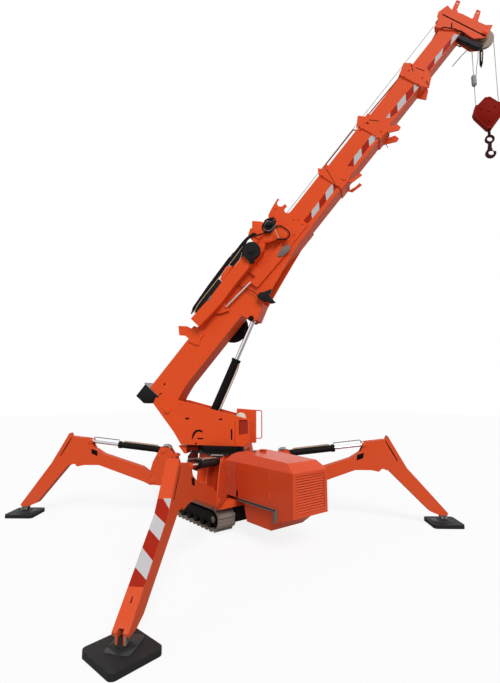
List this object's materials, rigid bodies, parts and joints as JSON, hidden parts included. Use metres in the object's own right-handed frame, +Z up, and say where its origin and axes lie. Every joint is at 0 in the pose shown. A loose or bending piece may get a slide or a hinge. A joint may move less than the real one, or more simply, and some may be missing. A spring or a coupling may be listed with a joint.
{
  "type": "tracked spider crane",
  "caption": "Compact tracked crane standing on four swinging outriggers, with a slewing turret, a five-section telescopic boom raised by a cylinder, and a hook block on rope",
  "frame": {"origin": "on the ground under the slewing axis", "axes": "+X towards the engine housing, +Y to the left side, +Z up"},
  "size_m": [5.0833, 4.6748, 6.7678],
  "materials": {
    "paint": "orange gloss paint",
    "dark": "black paint",
    "grey": "grey paint",
    "chrome": "hard chrome",
    "rubber": "worn rubber",
    "iron": "cast",
    "plastic": "black",
    "block": "dark red paint",
    "steel": "wire rope"
  },
  "bodies": {
    "chassis": {"chassis_frame": "paint", "track_left": "rubber", "track_right": "rubber", "track_frame_left": "dark", "track_frame_right": "dark", "cross_beam_front": "paint", "cross_beam_rear": "paint", "pedestal": "paint", "deck_plate": "grey", "slew_ring": "dark", "engine_housing": "paint", "engine_block": "iron", "housing_grille": "paint", "housing_rail": "grey"},
    "turret": {"turret_frame": "paint", "turret_box_near": "paint", "turret_box_far": "paint", "guard_rail": "paint"},
    "boom": {"boom_base": "paint", "boom_tail_plate": "paint", "winch": "dark", "control_box": "plastic", "jib_beam": "paint"},
    "section_2": {"boom_section_2": "paint"},
    "section_3": {"boom_section_3": "paint"},
    "section_4": {"boom_section_4": "paint"},
    "section_5": {"boom_section_5": "paint", "boom_head": "paint", "switch_box": "paint"},
    "sheave": {"head_sheave": "grey"},
    "falls": {"hoist_rope": "steel"},
    "block": {"hook_block": "block"},
    "hook": {"hook": "block"},
    "luff_barrel": {"luff_barrel": "dark"},
    "luff_rod": {"luff_rod": "chrome"},
    "bracket_front_right": {"bracket_front_right": "paint"},
    "leg_front_right": {"leg_front_right": "paint", "pad_front_right": "plastic"},
    "barrel_front_right": {"barrel_front_right": "dark"},
    "rod_front_right": {"rod_front_right": "chrome"},
    "bracket_front_left": {"bracket_front_left": "paint"},
    "leg_front_left": {"leg_front_left": "paint", "pad_front_left": "plastic"},
    "barrel_front_left": {"barrel_front_left": "dark"},
    "rod_front_left": {"rod_front_left": "chrome"},
    "bracket_rear_right": {"bracket_rear_right": "paint"},
    "leg_rear_right": {"leg_rear_right": "paint", "pad_rear_right": "plastic"},
    "barrel_rear_right": {"barrel_rear_right": "dark"},
    "rod_rear_right": {"rod_rear_right": "chrome"},
    "bracket_rear_left": {"bracket_rear_left": "paint"},
    "leg_rear_left": {"leg_rear_left": "paint", "pad_rear_left": "plastic"},
    "barrel_rear_left": {"barrel_rear_left": "dark"},
    "rod_rear_left": {"rod_rear_left": "chrome"}
  },
  "joints": [
    {"name": "slew", "type": "hinge", "parent": "chassis", "child": "turret", "pos_m": [0, 0, 0.92], "axis": [0, 0, 1], "continuous": true},
    {"name": "luff", "type": "hinge", "parent": "turret", "child": "boom", "pos_m": [-0.59184, -0.45249, 1.41], "axis": [0.6074, -0.7944, 0], "range_deg": [-42, 28]},
    {"name": "telescope", "type": "slide", "parent": "boom", "child": "section_2", "axis": [0.5106, 0.3904, 0.766], "range_m": [-0.55, 1.6]},
    {"name": "telescope_3", "type": "slide", "parent": "section_2", "child": "section_3", "axis": [0.5106, 0.3904, 0.766], "range_m": [-0.55, 1.6]},
    {"name": "telescope_4", "type": "slide", "parent": "section_3", "child": "section_4", "axis": [0.5106, 0.3904, 0.766], "range_m": [-0.55, 1.6]},
    {"name": "telescope_5", "type": "slide", "parent": "section_4", "child": "section_5", "axis": [0.5106, 0.3904, 0.766], "range_m": [-0.55, 1.6]},
    {"name": "sheave_turn", "type": "hinge", "parent": "section_5", "child": "sheave", "pos_m": [2.76666, 2.11527, 6.19705], "axis": [0.6074, -0.7944, 0], "continuous": true},
    {"name": "hook_swing", "type": "hinge", "parent": "section_5", "child": "falls", "pos_m": [2.76666, 2.11527, 6.19705], "axis": [0.6074, -0.7944, 0], "range_deg": [-28, 42]},
    {"name": "hoist", "type": "slide", "parent": "falls", "child": "block", "axis": [0, 0, -1], "range_m": [-0.28, 3.6], "deforming": ["hoist_rope"]},
    {"name": "hook_turn", "type": "hinge", "parent": "block", "child": "hook", "pos_m": [2.76666, 2.11527, 4.94], "axis": [0, 0, 1], "continuous": true},
    {"name": "luff_barrel_tilt", "type": "hinge", "parent": "turret", "child": "luff_barrel", "pos_m": [-0.21926, -0.16764, 1.08], "axis": [0.6074, -0.7944, 0], "range_deg": [-40.8, 27.2]},
    {"name": "luff_rod_slide", "type": "slide", "parent": "luff_barrel", "child": "luff_rod", "axis": [0.3269, 0.25, 0.9114], "range_m": [-0.42, 0.28]},
    {"name": "yaw_front_right", "type": "hinge", "parent": "chassis", "child": "bracket_front_right", "pos_m": [0.545, -0.42, 0.6], "axis": [0, 0, -1], "range_deg": [-25, 25]},
    {"name": "pitch_front_right", "type": "hinge", "parent": "bracket_front_right", "child": "leg_front_right", "pos_m": [0.73141, -0.64215, 0.47], "axis": [-0.766, -0.6428, 0], "range_deg": [-5, 36]},
    {"name": "barrel_tilt_front_right", "type": "hinge", "parent": "bracket_front_right", "child": "barrel_front_right", "pos_m": [0.64785, -0.54257, 0.868], "axis": [-0.766, -0.6428, 0], "range_deg": [-5.15, 37.08]},
    {"name": "rod_slide_front_right", "type": "slide", "parent": "barrel_front_right", "child": "rod_front_right", "axis": [0.6386, -0.761, 0.1145], "range_m": [-0.26, 0.036]},
    {"name": "yaw_front_left", "type": "hinge", "parent": "chassis", "child": "bracket_front_left", "pos_m": [0.545, 0.42, 0.6], "axis": [0, 0, 1], "range_deg": [-25, 25]},
    {"name": "pitch_front_left", "type": "hinge", "parent": "bracket_front_left", "child": "leg_front_left", "pos_m": [0.73141, 0.64215, 0.47], "axis": [0.766, -0.6428, 0], "range_deg": [-5, 36]},
    {"name": "barrel_tilt_front_left", "type": "hinge", "parent": "bracket_front_left", "child": "barrel_front_left", "pos_m": [0.64785, 0.54257, 0.868], "axis": [0.766, -0.6428, 0], "range_deg": [-5.15, 37.08]},
    {"name": "rod_slide_front_left", "type": "slide", "parent": "barrel_front_left", "child": "rod_front_left", "axis": [0.6386, 0.761, 0.1145], "range_m": [-0.26, 0.036]},
    {"name": "yaw_rear_right", "type": "hinge", "parent": "chassis", "child": "bracket_rear_right", "pos_m": [-0.525, -0.42, 0.6], "axis": [0, 0, 1], "range_deg": [-25, 25]},
    {"name": "pitch_rear_right", "type": "hinge", "parent": "bracket_rear_right", "child": "leg_rear_right", "pos_m": [-0.71141, -0.64215, 0.47], "axis": [-0.766, 0.6428, 0], "range_deg": [-5, 36]},
    {"name": "barrel_tilt_rear_right", "type": "hinge", "parent": "bracket_rear_right", "child": "barrel_rear_right", "pos_m": [-0.62785, -0.54257, 0.868], "axis": [-0.766, 0.6428, 0], "range_deg": [-5.15, 37.08]},
    {"name": "rod_slide_rear_right", "type": "slide", "parent": "barrel_rear_right", "child": "rod_rear_right", "axis": [-0.6386, -0.761, 0.1145], "range_m": [-0.26, 0.036]},
    {"name": "yaw_rear_left", "type": "hinge", "parent": "chassis", "child": "bracket_rear_left", "pos_m": [-0.525, 0.42, 0.6], "axis": [0, 0, -1], "range_deg": [-25, 25]},
    {"name": "pitch_rear_left", "type": "hinge", "parent": "bracket_rear_left", "child": "leg_rear_left", "pos_m": [-0.71141, 0.64215, 0.47], "axis": [0.766, 0.6428, 0], "range_deg": [-5, 36]},
    {"name": "barrel_tilt_rear_left", "type": "hinge", "parent": "bracket_rear_left", "child": "barrel_rear_left", "pos_m": [-0.62785, 0.54257, 0.868], "axis": [0.766, 0.6428, 0], "range_deg": [-5.15, 37.08]},
    {"name": "rod_slide_rear_left", "type": "slide", "parent": "barrel_rear_left", "child": "rod_rear_left", "axis": [-0.6386, 0.761, 0.1145], "range_m": [-0.26, 0.036]}
  ],
  "couplings": [
    {"joint": "telescope_3", "follows": "telescope", "ratio": 1},
    {"joint": "telescope_4", "follows": "telescope", "ratio": 1},
    {"joint": "telescope_5", "follows": "telescope", "ratio": 1},
    {"joint": "hook_swing", "follows": "luff", "ratio": -1},
    {"joint": "luff_barrel_tilt", "follows": "luff", "ratio": 0.97},
    {"joint": "luff_rod_slide", "follows": "luff", "m_per_rad": 0.571},
    {"joint": "barrel_tilt_front_right", "follows": "pitch_front_right", "ratio": 1.03},
    {"joint": "rod_slide_front_right", "follows": "pitch_front_right", "m_per_rad": -0.41},
    {"joint": "barrel_tilt_front_left", "follows": "pitch_front_left", "ratio": 1.03},
    {"joint": "rod_slide_front_left", "follows": "pitch_front_left", "m_per_rad": -0.41},
    {"joint": "barrel_tilt_rear_right", "follows": "pitch_rear_right", "ratio": 1.03},
    {"joint": "rod_slide_rear_right", "follows": "pitch_rear_right", "m_per_rad": -0.41},
    {"joint": "barrel_tilt_rear_left", "follows": "pitch_rear_left", "ratio": 1.03},
    {"joint": "rod_slide_rear_left", "follows": "pitch_rear_left", "m_per_rad": -0.41}
  ]
}
